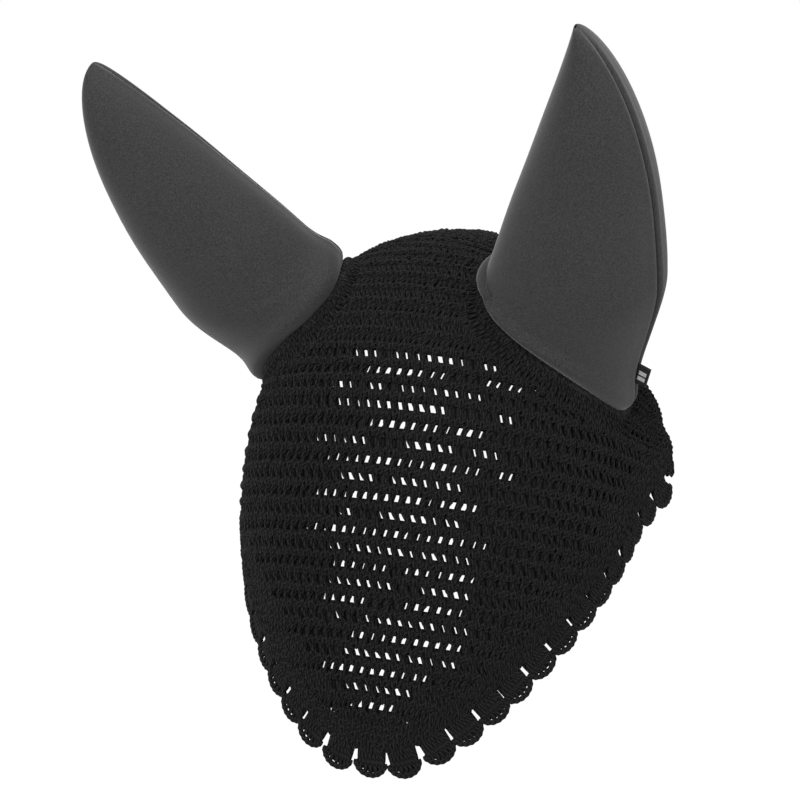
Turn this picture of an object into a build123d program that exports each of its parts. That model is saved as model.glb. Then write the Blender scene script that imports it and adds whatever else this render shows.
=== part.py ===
from build123d import *
from math import atan2, cos, degrees, exp, log, pi, radians, sin, sqrt, tan
import os

# Crocheted ear bonnet for a horse, in millimetres, worn shape.
# The horse faces -Y, +X is the horse's left and +Z is up.
# The origin is the poll: the top of the head between the ears, on the inside of the crown.

# Hood form: the head shape that the crochet hangs on.
HOOD_HALF_WIDTH = 126.0      # widest half width, at the cheeks
HOOD_FRONT_DEPTH = 108.0     # from the widest place forward to the forehead
HOOD_REAR_DEPTH = 260.0      # reach of the rear half of the plan curve, before it is cut off
WIDEST_Y = 45.0              # where the plan is widest
DOME_HEIGHT = 185.0          # height of the rounded crown above the straight sides
PLAN_POWER = 2.15            # squareness of the plan curve
DOME_POWER = 2.1             # fullness of the crown
REAR_Y = 98.0                # plane of the rear edge behind the ears
REAR_FLARE = 16.0            # how far the sides spread towards the rear edge
CHIN_NARROWING = 0.25        # share of the width lost one dome height below the dome
CHIN_FORWARD = 12.0          # how far the forehead line comes forward over the same height

# Crochet fabric.
CROCHET_THICKNESS = 3.0
PIECE_GAP = 0.3              # between pieces that are worked or sewn together
BAND_WIDTH = 12.0            # single crochet rounds along the pointed front edge
SHELL_HEIGHT = 17.0          # scallops outside the band
SHELL_PITCH = 19.6
SHELL_THICKNESS = 2.6
SHELL_SPLIT = 1.2            # between two neighbouring scallops
SHELL_SEAT = 0.4             # between a scallop and the band that carries it
REAR_BAND_WIDTH = 8.0        # plain rounds along the rear edge

# Front edge: height of the scallop tips against the run from the front centre,
# where the run is the sideways distance plus the distance back.
TIP_Z = -314.0
TIP_ROUNDING = 30.0
FRONT_SLOPE = 0.65
SIDE_SLOPE = 0.30
REAR_CORNER_Z = -172.0
KNEE_SOFTNESS = 9.0
EDGE_STRETCH = 1.15          # height that one millimetre of width takes across the sloping edge
TIP_CLEARANCE = 1.0          # between the band and the last face row

# Rows: each row lies in a plane that dips towards the back.
ROW_DIP = 22.0
NAPE_DIP = 60.0
BROW_Z = -82.0               # front centre height of the row that divides face and crown
NAPE_Y = 83.0                # where the last crown row crosses the middle
FLAP_SHARE = 0.34            # share of each face row that is worked dense as a side flap

# Ears.
EAR_LENGTH = 216.0
EAR_OUTER_HALF = 68.3        # ear's axis to its outer edge, at the base
EAR_INNER_HALF = 53.7        # the same to its inner edge
EAR_HALF_DEPTH = 41.0
EAR_OUTER_TAPER = (2.73, 0.73)   # how late the outer edge closes, and how fine it ends
EAR_INNER_TAPER = (1.165, 1.19)
EAR_DEPTH_TAPER = (3.0, 0.5)
EAR_WALL = 3.0
EAR_OUTER_SEAM = 20.0        # degrees the outer seam sits in front of the widest line
EAR_INNER_SEAM = -15.0       # the same for the inner seam, which sits behind it
EAR_BASE_BLEND = 0.30        # share of the length over which the base takes the leaf shape
EAR_TIP_END = 0.99
EAR_OUT_LEAN = {"right": 7.2, "left": 29.0}
EAR_FORWARD_LEAN = {"right": 22.8, "left": 29.8}
EAR_FACING = {"right": 7.7, "left": 13.8}
EAR_OUT_BOW = {"right": 9.7, "left": 36.2}        # how far the tip curves outwards
EAR_FORWARD_BOW = {"right": -1.6, "left": -33.6}  # how far the tip curves forward
SEAM_ALLOWANCE = 6.0         # sewn edges that stand inwards along each ear seam
SEAM_THICKNESS = 1.8
SEAM_CLEARANCE = 0.9         # between the sewn edges and the inside of the panels
BINDING_WIDTH = 2.4          # overcast stitching round the ear's base

# Ear holes: ellipses square to the head's shoulder line.
HOLE_CENTRE = (77.5, 34.0, -66.0)
HOLE_LONG_HALF = 61.0
HOLE_SHORT_HALF = 37.0
HOLE_LONG_AXIS = (0.610, 0.585, -0.537)
HOLE_NORMAL = (0.687, -0.050, 0.726)
COLLAR_WIDTH = 10.0          # gathered crochet rounds between hood and ear
RIM_LIFT = 4.0               # ear rim above the hood's middle surface

# Folded label in the outer seam of one ear.
LABEL_PROUD = 9.0
LABEL_HEIGHT = 16.0
LABEL_THICKNESS = 1.4
LABEL_PLACE = 0.10           # along the ear from its base
MARK_HEIGHT = 3.0
MARK_RELIEF = 0.2
MARK_GAP = 1.6

SIDES = {"right": 1, "left": -1}


def add(a, b, scale=1.0):
    return tuple(p + scale * q for p, q in zip(a, b))


def dot(a, b):
    return sum(p * q for p, q in zip(a, b))


def cross(a, b):
    return (a[1] * b[2] - a[2] * b[1], a[2] * b[0] - a[0] * b[2], a[0] * b[1] - a[1] * b[0])


def unit(a):
    length = sqrt(dot(a, a))
    return tuple(p / length for p in a)


def mirrored(a, side):
    return (side * a[0], a[1], a[2])


def mix(a, b, share):
    return tuple(p + share * (q - p) for p, q in zip(a, b))


def blend(share):
    share = min(max(share, 0.0), 1.0)
    return share * share * (3 - 2 * share)


def form(point):
    """Head form: below zero inside, above zero outside."""
    x, y, z = point
    rise = min(max((z + DOME_HEIGHT) / DOME_HEIGHT, 0.0), 1.0)
    reach = (1 - rise**2) ** (1 / DOME_POWER)
    low = max((-DOME_HEIGHT - z) / DOME_HEIGHT, 0.0)
    width = HOOD_HALF_WIDTH * (1 - CHIN_NARROWING * low**1.4)
    behind = max((y - WIDEST_Y) / (REAR_Y - WIDEST_Y), 0.0)
    width += REAR_FLARE * behind**2 * (1 - rise)
    depth = HOOD_REAR_DEPTH
    if y < WIDEST_Y:
        depth = HOOD_FRONT_DEPTH + CHIN_FORWARD * low
    plan = (abs(x) / width) ** PLAN_POWER + (abs(y - WIDEST_Y) / depth) ** PLAN_POWER
    return plan ** (1 / PLAN_POWER) - reach


def out_to_form(start, direction, reach=420.0):
    """Where a line that starts inside the form leaves it."""
    near, far = 0.0, reach
    for _ in range(40):
        middle = (near + far) / 2
        if form(add(start, direction, middle)) < 0:
            near = middle
        else:
            far = middle
    return add(start, direction, near)


def form_normal(point):
    step = 0.4
    slope = []
    for axis in range(3):
        shift = [0.0, 0.0, 0.0]
        shift[axis] = step
        slope.append(form(add(point, shift)) - form(add(point, shift, -1.0)))
    return unit(slope)


def edge_height(point, inside=0.0):
    """Height of the front edge at this place, moved up the fabric by `inside`."""
    run = abs(point[0]) + point[1] - (WIDEST_Y - HOOD_FRONT_DEPTH)
    corner_run = HOOD_HALF_WIDTH + REAR_Y - (WIDEST_Y - HOOD_FRONT_DEPTH)
    front = TIP_Z + FRONT_SLOPE * (sqrt(run**2 + TIP_ROUNDING**2) - TIP_ROUNDING)
    side = REAR_CORNER_Z - SIDE_SLOPE * (corner_run - run)
    low = min(front, side)
    soft = exp((low - front) / KNEE_SOFTNESS) + exp((low - side) / KNEE_SOFTNESS)
    return low - KNEE_SOFTNESS * log(soft) + inside * EDGE_STRETCH


def panel_inside():
    """Distance from the scallop tips to the first row of the panels."""
    return SHELL_HEIGHT + BAND_WIDTH + PIECE_GAP


def row_point(station, dip, turn):
    """Point of the row through a front centre station, `turn` degrees round from the front."""
    back = (0.0, cos(radians(dip)), -sin(radians(dip)))
    hub = add((0.0, *station), back, (REAR_Y - station[0]) / cos(radians(dip)))
    a = radians(turn)
    direction = add((sin(a), 0.0, 0.0), back, -cos(a))
    return out_to_form(hub, direction)


def front_station(z):
    start = (0.0, WIDEST_Y, z)
    return out_to_form(start, (0.0, -1.0, 0.0))[1:]


def row_end(station, dip, inside):
    """How far a face row turns before it meets the front edge."""
    near, far = 0.0, 90.0
    for _ in range(30):
        turn = (near + far) / 2
        point = row_point(station, dip, turn)
        if point[2] > edge_height(point, inside):
            near = turn
        else:
            far = turn
    return near


def patch(outer, inner):
    """Closed solid between two matching grids of points."""
    top = Face.make_surface_from_array_of_points([[Vector(*p) for p in row] for row in outer])
    bottom = Face.make_surface_from_array_of_points([[Vector(*p) for p in row] for row in inner])
    faces = [top, bottom]
    for edge, partner in zip(top.edges(), bottom.edges()):
        faces.append(Face.make_surface_from_curves(edge, partner))
    return Solid(Shell(faces)).fix()


def fabric(grid, thickness=CROCHET_THICKNESS):
    """Fabric of even thickness on a grid of points of the head form."""
    outer = [[add(p, form_normal(p), thickness / 2) for p in row] for row in grid]
    inner = [[add(p, form_normal(p), -thickness / 2) for p in row] for row in grid]
    return patch(outer, inner)


def steps(first, last, count):
    return [first + (last - first) * i / (count - 1) for i in range(count)]


def face_part(first_share, last_share):
    """Part of the pointed face, between two shares of each row's half length."""
    low_z = TIP_Z + panel_inside() * EDGE_STRETCH + TIP_CLEARANCE
    grid = []
    for z in steps(BROW_Z - PIECE_GAP, low_z, 22):
        station = front_station(z)
        end = row_end(station, ROW_DIP, panel_inside())
        trim = degrees(PIECE_GAP / 2 / (REAR_Y - station[0]))
        turns = steps(first_share * end + trim, last_share * end - trim, 21)
        grid.append([row_point(station, ROW_DIP, turn) for turn in turns])
    return fabric(grid)


def crown_row(share):
    """Station and dip of a crown row, from the brow (0) to the nape (1)."""
    brow = front_station(BROW_Z)
    centre = (REAR_Y, -DOME_HEIGHT)
    first = degrees(atan2(brow[1] - centre[1], centre[0] - brow[0]))
    nape = out_to_form((0.0, NAPE_Y, -DOME_HEIGHT), (0.0, 0.0, 1.0))
    last = degrees(atan2(nape[2] - centre[1], centre[0] - nape[1]))
    a = radians(first + (last - first) * share)
    station = out_to_form((0.0, *centre), (0.0, -cos(a), sin(a)))[1:]
    return station, ROW_DIP + (NAPE_DIP - ROW_DIP) * share


def ear_frame(name):
    """Ear axes: across (outwards), forward and up, at the hole's centre."""
    side = SIDES[name]
    lean_out = side * tan(radians(EAR_OUT_LEAN[name]))
    up = unit((lean_out, -tan(radians(EAR_FORWARD_LEAN[name])), 1.0))
    face = radians(EAR_FACING[name])
    look = (side * sin(face), -cos(face), 0.0)
    forward = unit(add(look, up, -dot(look, up)))
    across = cross(up, forward)
    if across[0] * side < 0:
        across = tuple(-c for c in across)
    return mirrored(HOLE_CENTRE, side), across, forward, up


def hole_axes(name):
    side = SIDES[name]
    long_axis = unit(mirrored(HOLE_LONG_AXIS, side))
    normal = mirrored(HOLE_NORMAL, side)
    normal = unit(add(normal, long_axis, -dot(normal, long_axis)))
    forward = cross(normal, long_axis)
    if forward[1] > 0:
        forward = tuple(-c for c in forward)
    return long_axis, forward, normal


def hole_ring(name, angle, wider, lift):
    """Point of an ellipse round the ear hole, laid on the head form and lifted off it."""
    long_axis, forward, normal = hole_axes(name)
    centre = mirrored(HOLE_CENTRE, SIDES[name])
    point = add(centre, long_axis, (HOLE_LONG_HALF + wider) * cos(angle))
    point = add(point, forward, (HOLE_SHORT_HALF + wider) * sin(angle))
    inside = add(point, normal, -90.0)
    return add(out_to_form(inside, normal, 240.0), normal, lift)


def tapered(width, share, taper):
    return width * (1 - share ** taper[0]) ** taper[1]


def ear_point(name, angle, share, wall=0.0):
    """Ear cover surface: angle 0 is the outer seam side, 90 degrees the front."""
    centre, across, forward, up = ear_frame(name)
    outer = tapered(EAR_OUTER_HALF, share, EAR_OUTER_TAPER)
    inner = tapered(EAR_INNER_HALF, share, EAR_INNER_TAPER)
    half = max((outer + inner) / 2 - wall, 0.4)
    depth = max(tapered(EAR_HALF_DEPTH, share, EAR_DEPTH_TAPER) - wall, 0.4)
    leaf = add(centre, up, share * (EAR_LENGTH - 1.5 * wall))
    leaf = add(leaf, across, (outer - inner) / 2 + half * cos(angle) + EAR_OUT_BOW[name] * share**2)
    leaf = add(leaf, forward, depth * sin(angle) + EAR_FORWARD_BOW[name] * share**2)
    ring = hole_ring(name, angle, -wall, RIM_LIFT + CROCHET_THICKNESS / 2 + PIECE_GAP)
    ring = add(ring, up, share * EAR_LENGTH)
    return mix(ring, leaf, blend(share / EAR_BASE_BLEND))


def seam_angles():
    """Outer and inner seam of the front panel, in radians."""
    return radians(EAR_OUTER_SEAM), pi - radians(EAR_INNER_SEAM)


def ear_panel(name, first, last):
    shares = [EAR_TIP_END * (1 - (1 - s) ** 1.3) for s in steps(0.0, 1.0, 22)]
    trim = PIECE_GAP / 2 / EAR_HALF_DEPTH
    angles = steps(first + trim, last - trim, 19)
    outer = [[ear_point(name, a, s) for a in angles] for s in shares]
    inner = [[ear_point(name, a, s, EAR_WALL) for a in angles] for s in shares]
    return patch(outer, inner)


def seam_allowance(name, angle):
    """Sewn edges of the two panels, standing inwards along a seam."""
    near, far = [], []
    for share in steps(0.05, 0.82, 12):
        foot = ear_point(name, angle, share, EAR_WALL + SEAM_CLEARANCE)
        beside = add(ear_point(name, angle + 0.05, share), ear_point(name, angle - 0.05, share), -1.0)
        beside = unit(beside)
        inwards = unit(add(ear_point(name, angle, share, EAR_WALL), ear_point(name, angle, share), -1.0))
        tip = add(foot, inwards, SEAM_ALLOWANCE * (1 - 0.6 * share))
        near.append([add(p, beside, SEAM_THICKNESS / 2) for p in (foot, mix(foot, tip, 0.5), tip)])
        far.append([add(p, beside, -SEAM_THICKNESS / 2) for p in (foot, mix(foot, tip, 0.5), tip)])
    return patch(near, far)


def ring_halves(name, profile):
    """Closed crochet band round an ear hole; the profile lists its widening and lift."""
    halves = []
    half = CROCHET_THICKNESS / 2
    for start in (0.0, pi):
        angles = steps(start, start + pi, 25)
        outer = [[hole_ring(name, a, wider, lift + half) for a in angles] for wider, lift in profile]
        inner = [[hole_ring(name, a, wider, lift - half) for a in angles] for wider, lift in profile]
        halves.append(patch(outer, inner))
    return Compound(children=halves)


def base_binding(name):
    """Overcast stitching that joins the ear's rim to its collar."""
    return ring_halves(name, [(wider, RIM_LIFT) for wider in steps(BINDING_WIDTH, -EAR_WALL, 5)])


def collar(name):
    """Gathered crochet rounds that close the gap between hood and ear rim."""
    widths = steps(COLLAR_WIDTH - PIECE_GAP, BINDING_WIDTH + PIECE_GAP, 5)
    lifts = [blend(share) * RIM_LIFT for share in steps(0.0, 1.0, 5)]
    return ring_halves(name, list(zip(widths, lifts)))


def hole_cutter(name):
    long_axis, forward, normal = hole_axes(name)
    centre = mirrored(HOLE_CENTRE, SIDES[name])
    plane = Plane(origin=add(centre, normal, -50.0), x_dir=long_axis, z_dir=normal)
    outline = Ellipse(HOLE_LONG_HALF + COLLAR_WIDTH, HOLE_SHORT_HALF + COLLAR_WIDTH)
    return extrude(plane * outline, amount=110.0)


def crown_panel():
    grid = []
    for share in steps(0.0, 1.0, 24):
        station, dip = crown_row(share)
        end = row_end(station, dip, panel_inside())
        grid.append([row_point(station, dip, turn) for turn in steps(-end, end, 41)])
    panel = fabric(grid)
    for name in SIDES:
        panel = panel - hole_cutter(name)
    return panel


def band_line(inside, count):
    """Line along the front edge, from the rear corner on the left to the one on the right."""
    points = []
    for turn in steps(-90.0, 90.0, count):
        a = radians(turn)
        low, high = TIP_Z - 20.0, REAR_CORNER_Z + 60.0
        for _ in range(30):
            z = (low + high) / 2
            point = out_to_form((0.0, REAR_Y, z), (sin(a), -cos(a), 0.0))
            if point[2] > edge_height(point, inside):
                high = z
            else:
                low = z
        points.append(point)
    return points


def edge_band():
    shares = steps(0.0, 1.0, 4)
    lines = [band_line(SHELL_HEIGHT + BAND_WIDTH * (1 - s), 61) for s in shares]
    return fabric(lines)


def shell_places():
    """Foot point, direction along the edge and direction out of the fabric of each scallop."""
    line = band_line(SHELL_HEIGHT, 401)
    runs = [0.0]
    for a, b in zip(line, line[1:]):
        runs.append(runs[-1] + sqrt(dot(add(b, a, -1.0), add(b, a, -1.0))))
    count = int(runs[-1] // SHELL_PITCH)
    margin = (runs[-1] - count * SHELL_PITCH) / 2
    places = []
    for i in range(count):
        target = margin + (i + 0.5) * SHELL_PITCH
        j = max(k for k, run in enumerate(runs[:-4]) if run <= target)
        share = (target - runs[j]) / (runs[j + 1] - runs[j])
        foot = mix(line[j], line[j + 1], share)
        along = unit(add(line[j + 4], line[max(j - 3, 0)], -1.0))
        places.append((foot, along, form_normal(foot)))
    return places


def shell(foot, along, outwards):
    """One scallop: a fan of stitches as a rounded tongue below the band."""
    plane = Plane(origin=foot, x_dir=along, z_dir=outwards)
    half = (SHELL_PITCH - SHELL_SPLIT) / 2
    way = 1 if plane.y_dir.Z < 0 else -1
    straight = SHELL_HEIGHT - half
    fan = Pos(0, way * straight) * Circle(half) + Pos(0, way * straight / 2) * Rectangle(2 * half, straight)
    fan -= Pos(0, way * (SHELL_SEAT - half)) * Rectangle(2 * half, 2 * half)
    return extrude(plane * fan, amount=SHELL_THICKNESS / 2, both=True)


def rear_band():
    """Plain rounds along the rear edge, from corner to corner over the nape."""
    hub_z = -DOME_HEIGHT
    corner = band_line(SHELL_HEIGHT, 3)[-1]
    first = degrees(atan2(corner[2] - hub_z, corner[0]))
    station, dip = crown_row(1.0)
    rows = [[], [], []]
    for turn in steps(first, 180.0 - first, 81):
        a = radians(turn)
        direction = (cos(a), 0.0, sin(a))
        low, high = station[0], REAR_Y
        for _ in range(30):
            y = (low + high) / 2
            point = out_to_form((0.0, y, hub_z), direction)
            if point[2] > station[1] - (y - station[0]) * tan(radians(dip)):
                high = y
            else:
                low = y
        first_y = y + PIECE_GAP
        for row, share in zip(rows, (0.0, 0.5, 1.0)):
            row_y = first_y + share * (REAR_Y + REAR_BAND_WIDTH - first_y)
            row.append(out_to_form((0.0, row_y, hub_z), direction))
    return fabric(rows)


def label_frame():
    """Root, outward, upward and face directions of the label on the right ear's outer seam."""
    name = "right"
    angle = seam_angles()[0]
    root = ear_point(name, angle, LABEL_PLACE)
    above = ear_point(name, angle, LABEL_PLACE + 0.05)
    below = ear_point(name, angle, LABEL_PLACE - 0.05)
    upward = unit(add(above, below, -1.0))
    beside = ear_point(name, angle + 0.1, LABEL_PLACE)
    across = add(ear_point(name, angle - 0.1, LABEL_PLACE), beside, -1.0)
    skin = unit(cross(across, upward))
    centre = ear_frame(name)[0]
    if dot(skin, add(root, centre, -1.0)) < 0:
        skin = tuple(-c for c in skin)
    outward = unit(add(skin, upward, -dot(skin, upward)))
    return add(root, outward, PIECE_GAP), outward, upward, cross(outward, upward)


def label():
    root, outward, upward, face = label_frame()
    plane = Plane(origin=add(root, outward, LABEL_PROUD / 2), x_dir=outward, z_dir=face)
    tag = Rectangle(LABEL_PROUD, LABEL_HEIGHT)
    return extrude(plane * tag, amount=LABEL_THICKNESS / 2, both=True)


def label_mark():
    """Plain woven bars on both faces of the label."""
    root, outward, upward, face = label_frame()
    bars = []
    for way in (1, -1):
        for i in (-1, 1):
            middle = add(root, outward, LABEL_PROUD * 0.55)
            middle = add(middle, upward, i * (MARK_HEIGHT + MARK_GAP) / 2)
            middle = add(middle, face, way * LABEL_THICKNESS / 2)
            plane = Plane(origin=middle, x_dir=outward, z_dir=tuple(way * c for c in face))
            bar = Rectangle(LABEL_PROUD * 0.55, MARK_HEIGHT)
            bars.append(extrude(plane * bar, amount=MARK_RELIEF))
    return bars


def build():
    nodes = {
        "face_panel": face_part(-(1 - FLAP_SHARE), 1 - FLAP_SHARE),
        "right_side_flap": face_part(1 - FLAP_SHARE, 1.0),
        "left_side_flap": face_part(-1.0, -(1 - FLAP_SHARE)),
        "crown_panel": crown_panel(),
        "front_edge_band": edge_band(),
        "rear_edge_band": rear_band(),
    }
    for i, place in enumerate(shell_places()):
        nodes[f"edge_shell_{i + 1:02d}"] = shell(*place)
    outer_seam, inner_seam = seam_angles()
    for name in SIDES:
        nodes[f"{name}_ear_collar"] = collar(name)
        nodes[f"{name}_ear_front_panel"] = ear_panel(name, outer_seam, inner_seam)
        nodes[f"{name}_ear_rear_panel"] = ear_panel(name, inner_seam, outer_seam + 2 * pi)
        nodes[f"{name}_ear_outer_seam"] = seam_allowance(name, outer_seam)
        nodes[f"{name}_ear_inner_seam"] = seam_allowance(name, inner_seam)
        nodes[f"{name}_ear_base_stitching"] = base_binding(name)
    nodes["ear_label"] = label()
    nodes["ear_label_mark"] = Compound(children=label_mark())
    return nodes


os.makedirs("parts", exist_ok=True)
for node, shape in build().items():
    export_step(shape, f"parts/{node}.step")
for name in SIDES:
    print(name, "hinge through", mirrored(HOLE_CENTRE, SIDES[name]), "along", hole_axes(name)[0])
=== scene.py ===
from math import cos, pi, radians, sin, sqrt, tan

import bpy
import numpy as np
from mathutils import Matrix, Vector


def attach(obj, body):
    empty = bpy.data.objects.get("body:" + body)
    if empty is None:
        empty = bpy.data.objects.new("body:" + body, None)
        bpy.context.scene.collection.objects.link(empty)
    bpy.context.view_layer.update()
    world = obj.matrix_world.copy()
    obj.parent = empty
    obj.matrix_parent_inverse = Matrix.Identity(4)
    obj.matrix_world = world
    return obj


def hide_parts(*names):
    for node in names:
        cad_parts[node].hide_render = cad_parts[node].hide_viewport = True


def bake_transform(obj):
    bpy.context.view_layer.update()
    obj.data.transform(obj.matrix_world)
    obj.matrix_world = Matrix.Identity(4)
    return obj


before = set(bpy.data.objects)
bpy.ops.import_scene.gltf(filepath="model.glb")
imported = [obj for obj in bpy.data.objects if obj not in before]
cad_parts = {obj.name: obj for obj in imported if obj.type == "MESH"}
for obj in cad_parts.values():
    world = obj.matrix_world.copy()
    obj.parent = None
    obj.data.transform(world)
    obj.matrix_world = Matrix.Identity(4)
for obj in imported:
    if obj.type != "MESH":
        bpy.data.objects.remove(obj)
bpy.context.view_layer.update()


# ---------------------------------------------------------------- studio
# A pale studio: white backdrop, a floor that keeps a soft shadow below the hood,
# and large soft lamps, seen by a camera a little to the right of the forehead.
def look_from(azimuth, elevation, target, distance, lens):
    a, e = radians(azimuth), radians(elevation)
    back = Vector((sin(a) * cos(e), -cos(a) * cos(e), sin(e)))
    data = bpy.data.cameras.new("camera")
    data.lens = lens
    data.sensor_width = 36.0
    camera = bpy.data.objects.new("camera", data)
    camera.location = target + back * distance
    camera.rotation_euler = back.to_track_quat("Z", "Y").to_euler()
    bpy.context.scene.collection.objects.link(camera)
    bpy.context.scene.camera = camera


HOOD_MIDDLE = (0.0, 0.0, -0.05)


def soft_lamp(name, place, size, power):
    data = bpy.data.lights.new(name, "AREA")
    data.shape = "DISK"
    data.size = size
    data.energy = power
    lamp = bpy.data.objects.new(name, data)
    lamp.location = place
    lamp.rotation_euler = (Vector(place) - Vector(HOOD_MIDDLE)).to_track_quat("Z", "Y").to_euler()
    bpy.context.scene.collection.objects.link(lamp)


def add_node(material, kind, links=(), **settings):
    """One shader node; links are (input, output socket) pairs."""
    node = material.node_tree.nodes.new(kind)
    for key, value in settings.items():
        if hasattr(node, key):
            setattr(node, key, value)
    for socket, value in links:
        if isinstance(value, bpy.types.NodeSocket):
            material.node_tree.links.new(value, node.inputs[socket])
        else:
            node.inputs[socket].default_value = value
    return node


def linear(hex_colour):
    """Scene linear colour of an sRGB hex colour."""
    parts = [int(hex_colour[i:i + 2], 16) / 255 for i in (1, 3, 5)]
    parts = [p / 12.92 if p <= 0.04045 else ((p + 0.055) / 1.055) ** 2.4 for p in parts]
    return (*parts, 1.0)


def new_material(name):
    material = bpy.data.materials.new(name)
    material.use_nodes = True
    return material, material.node_tree.nodes["Principled BSDF"]


look_from(azimuth=22.0, elevation=12.0, target=Vector((-0.0003, -0.0207, -0.0900)), distance=1.15, lens=86.2)
soft_lamp("key_lamp", (0.1, -1.9, 0.9), 1.0, 26.0)
soft_lamp("left_lamp", (-1.7, -0.5, 0.1), 1.0, 4.0)
soft_lamp("right_lamp", (1.8, -0.4, 0.4), 1.0, 10.0)
soft_lamp("top_lamp", (0.1, 0.5, 1.7), 1.2, 12.0)

FLOOR_SIZE, FLOOR_HEIGHT = 12.0, -0.75
FLOOR_SHADOW = 0.06     # share of the floor that takes light and shadow
FLOOR_SEEN, FLOOR_LIGHT = 1.07, 0.4     # how bright the floor looks, and how much it lights the hood
ROOM_SEEN, ROOM_LIGHT = 1.0, 0.26     # the same for the backdrop
bpy.ops.mesh.primitive_plane_add(size=FLOOR_SIZE, location=(0.0, 0.0, FLOOR_HEIGHT))
floor = bpy.context.object
floor.name = "studio_floor"
floor_material, floor_shader = new_material("pale_floor")
floor_shader.inputs["Base Color"].default_value = linear("#FAFAFA")
floor_shader.inputs["Roughness"].default_value = 0.9
floor_seen = add_node(floor_material, "ShaderNodeLightPath")
floor_level = add_node(floor_material, "ShaderNodeMapRange",
                       [("Value", floor_seen.outputs["Is Camera Ray"]),
                        ("To Min", FLOOR_LIGHT), ("To Max", FLOOR_SEEN)])
floor_glow = add_node(floor_material, "ShaderNodeEmission",
                      [("Color", linear("#FFFFFF")), ("Strength", floor_level.outputs[0])])
floor_mix = add_node(floor_material, "ShaderNodeMixShader",
                     [(0, FLOOR_SHADOW), (1, floor_glow.outputs[0]), (2, floor_shader.outputs[0])])
floor_output = floor_material.node_tree.nodes["Material Output"]
floor_material.node_tree.links.new(floor_mix.outputs[0], floor_output.inputs["Surface"])
floor.data.materials.append(floor_material)

scene = bpy.context.scene
scene.view_settings.view_transform = "Standard"
world = bpy.data.worlds.new("pale_room")
scene.world = world
world.use_nodes = True
background = world.node_tree.nodes["Background"]
background.inputs["Color"].default_value = linear("#FFFFFF")
seen = world.node_tree.nodes.new("ShaderNodeLightPath")
level = world.node_tree.nodes.new("ShaderNodeMapRange")
level.inputs["To Min"].default_value = ROOM_LIGHT
level.inputs["To Max"].default_value = ROOM_SEEN
world.node_tree.links.new(seen.outputs["Is Camera Ray"], level.inputs["Value"])
world.node_tree.links.new(level.outputs["Result"], background.inputs["Strength"])


# ---------------------------------------------------------------- crochet hood
# Matt black cotton yarn of about 2 mm, crocheted in rows that run round the forehead.
# The middle of the face is open work, its sides and the crown are dense.
MM = 0.001
HALF_WIDTH, FRONT_DEPTH, REAR_DEPTH = 126.0, 108.0, 260.0
WIDEST_Y, REAR_Y, FLARE = 45.0, 98.0, 16.0
DOME, PLAN_POWER, DOME_POWER = 185.0, 2.15, 2.1
CHIN_NARROWING, CHIN_FORWARD = 0.25, 12.0
TIP_Z, TIP_ROUNDING, FRONT_SLOPE, SIDE_SLOPE = -314.0, 30.0, 0.65, 0.30
CORNER_Z, KNEE = -172.0, 9.0
BAND, SHELL_HEIGHT, SHELL_PITCH, REAR_BAND = 12.0, 17.0, 19.6, 8.0
ROW, OPEN_PITCH, DENSE_PITCH = 10.3, 6.7, 3.35
LEAN = 3.4     # how far a tall stitch leans along its row
SEAM_TAKE_UP = 1.15     # the hood is drawn up by this share where the edging is worked on
NET_DEPTH = -0.9     # the inner net lies this far behind the middle of the stitches
HALVINGS = 30     # steps of each search for a surface
ROW_DIP, NAPE_DIP, BROW_Z, NAPE_Y = 22.0, 60.0, -82.0, 83.0
YARN = 1.12     # radius of the yarn
TRUNK = (0.0, 40.0, -150.0)     # a point inside the head, to turn the fabric outwards


def form(p):
    """Head form, below zero inside; p holds points in millimetres."""
    x, y, z = p[..., 0], p[..., 1], p[..., 2]
    rise = np.clip((z + DOME) / DOME, 0.0, 1.0)
    reach = (1 - rise**2) ** (1 / DOME_POWER)
    low = np.clip((-DOME - z) / DOME, 0.0, None)
    width = HALF_WIDTH * (1 - CHIN_NARROWING * low**1.4)
    behind = np.clip((y - WIDEST_Y) / (REAR_Y - WIDEST_Y), 0.0, None)
    width = width + FLARE * behind**2 * (1 - rise)
    depth = np.where(y < WIDEST_Y, FRONT_DEPTH + CHIN_FORWARD * low, REAR_DEPTH)
    plan = (np.abs(x) / width) ** PLAN_POWER + (np.abs(y - WIDEST_Y) / depth) ** PLAN_POWER
    return plan ** (1 / PLAN_POWER) - reach


def out_to_form(start, direction, reach=420.0):
    """Where lines from inside the form leave it."""
    start, direction = np.broadcast_arrays(start, direction)
    near = np.zeros(start.shape[:-1])
    far = near + reach
    for _ in range(HALVINGS):
        middle = (near + far) / 2
        inside = form(start + direction * middle[..., None]) < 0
        near = np.where(inside, middle, near)
        far = np.where(inside, far, middle)
    return start + direction * near[..., None]


def row_curve(station, dip, turns):
    """Points of one row; station is its front centre (y, z), turns in degrees."""
    back = np.array((0.0, cos(radians(dip)), -sin(radians(dip))))
    hub = np.array((0.0, *station)) + back * (REAR_Y - station[0]) / cos(radians(dip))
    a = np.radians(turns)[:, None]
    direction = np.sin(a) * np.array((1.0, 0.0, 0.0)) - np.cos(a) * back
    return out_to_form(hub, direction)


def edge_height(p, inside):
    """Height of the lower edge, or of a line this far inside it."""
    run = np.abs(p[..., 0]) + p[..., 1] - (WIDEST_Y - FRONT_DEPTH)
    corner_run = HALF_WIDTH + REAR_Y - (WIDEST_Y - FRONT_DEPTH)
    front = TIP_Z + FRONT_SLOPE * (np.sqrt(run**2 + TIP_ROUNDING**2) - TIP_ROUNDING)
    side = CORNER_Z - SIDE_SLOPE * (corner_run - run)
    low = np.minimum(front, side)
    soft = np.exp((low - front) / KNEE) + np.exp((low - side) / KNEE)
    return low - KNEE * np.log(soft) + inside * SEAM_TAKE_UP


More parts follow.
